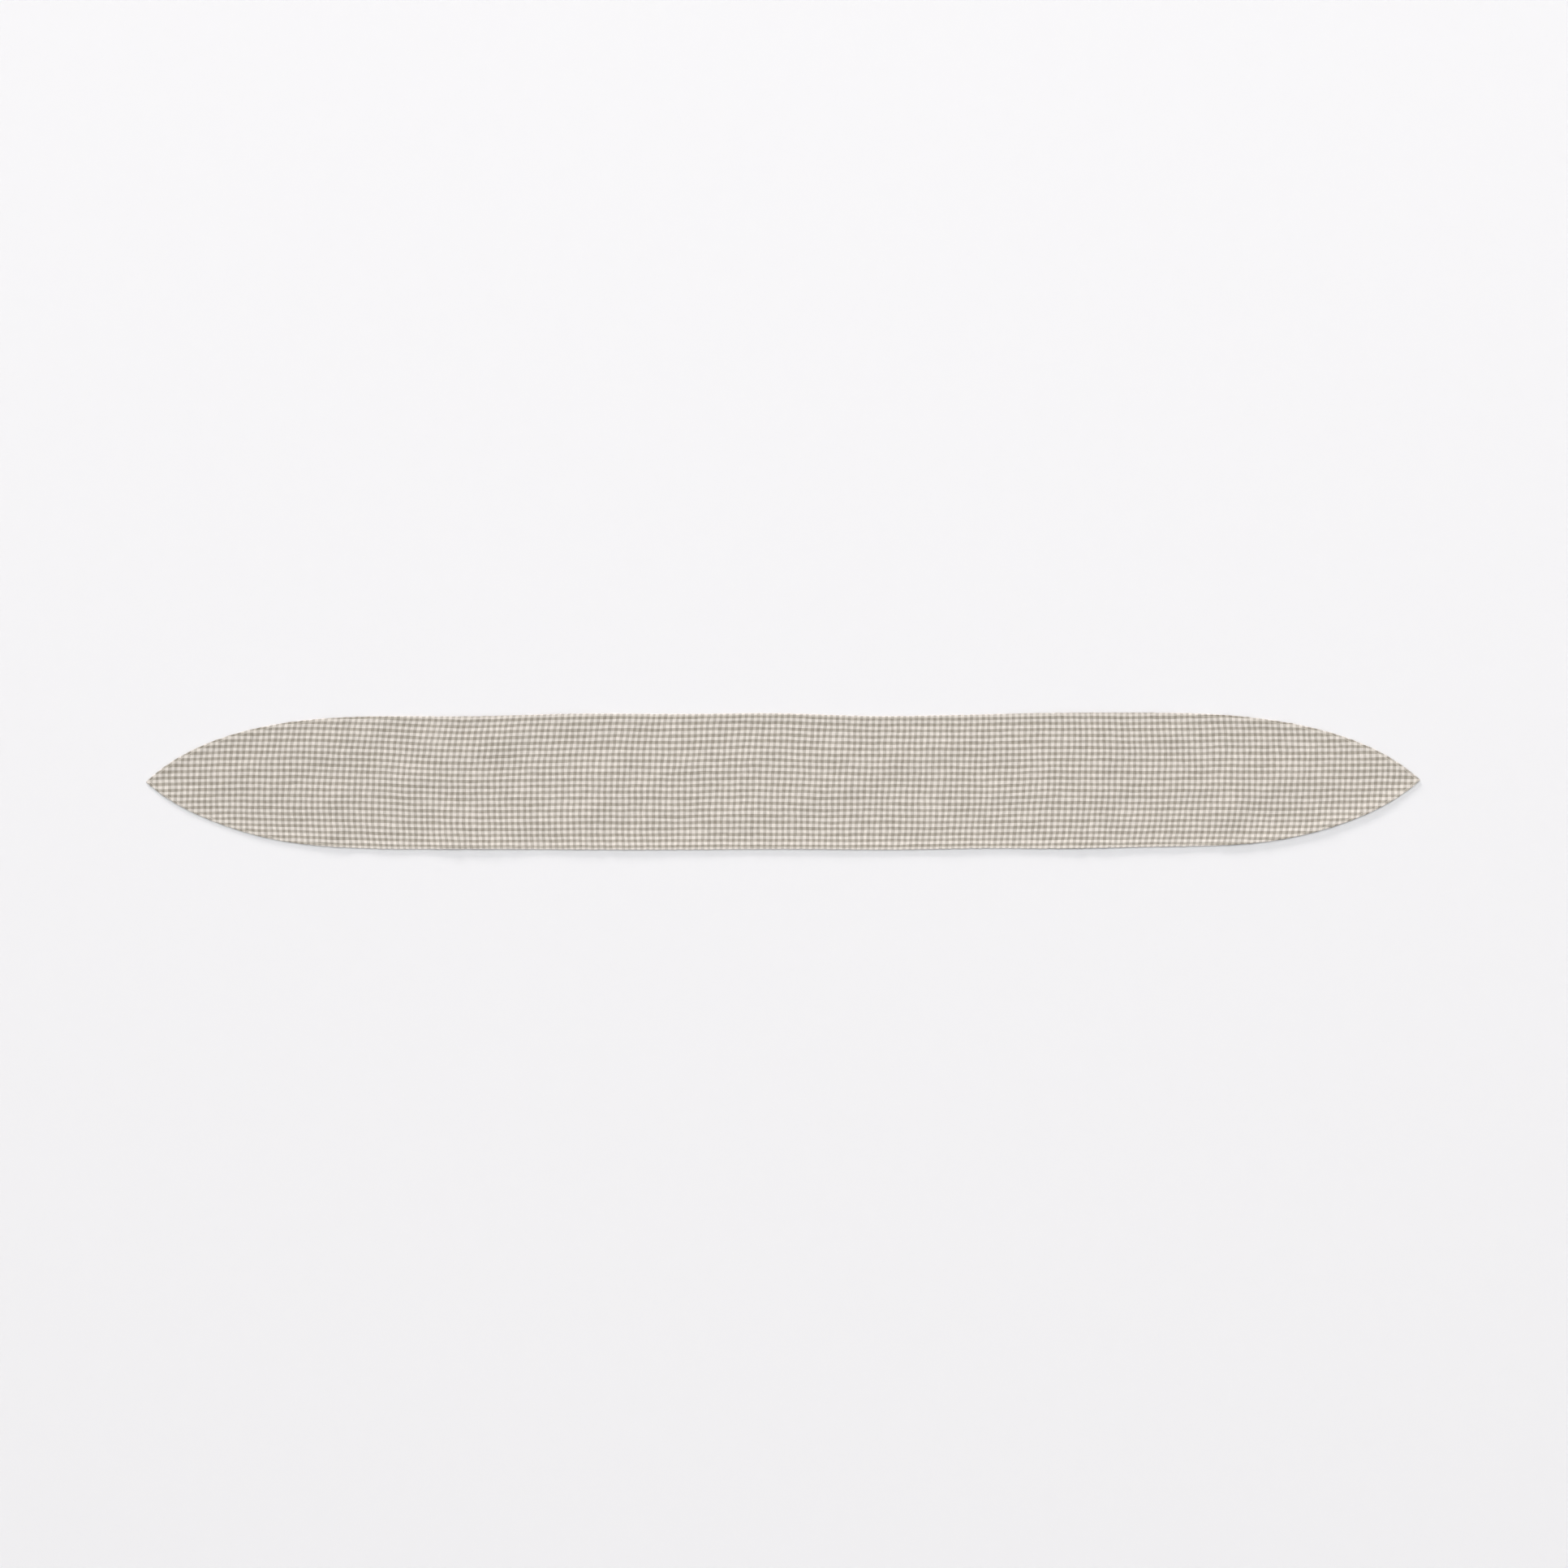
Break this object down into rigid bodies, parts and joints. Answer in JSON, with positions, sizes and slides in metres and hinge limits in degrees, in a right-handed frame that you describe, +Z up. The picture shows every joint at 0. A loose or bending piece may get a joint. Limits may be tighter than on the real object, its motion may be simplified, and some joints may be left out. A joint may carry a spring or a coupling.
{
  "type": "table runner",
  "caption": "Long lined table runner with curved pointed ends, in two seamed plies of small check cloth, edge-stitched all round, lying flat.",
  "frame": {"origin": "under the middle of the runner, on the surface that it lies on", "axes": "+X along the runner to one point, +Y across it, +Z up"},
  "size_m": [2.74, 0.292, 0.0028],
  "materials": {
    "face_cloth": "yarn-dyed plain-weave cotton gingham, stone and cream",
    "backing_cloth": "yarn-dyed plain-weave cotton gingham, stone and cream",
    "seam_thread": "spun polyester sewing thread, cream",
    "topstitch_thread": "spun polyester sewing thread, cream",
    "label_satin": "woven satin ribbon, blank",
    "label_thread": "fine sewing thread, off-white"
  },
  "bodies": {
    "root": {"face_panel": "face_cloth", "backing_panel": "backing_cloth", "seam_needle_thread": "seam_thread", "seam_bobbin_thread": "seam_thread", "topstitch_needle_thread": "topstitch_thread", "topstitch_bobbin_thread": "topstitch_thread", "care_label": "label_satin", "label_thread": "label_thread"}
  },
  "joints": []
}
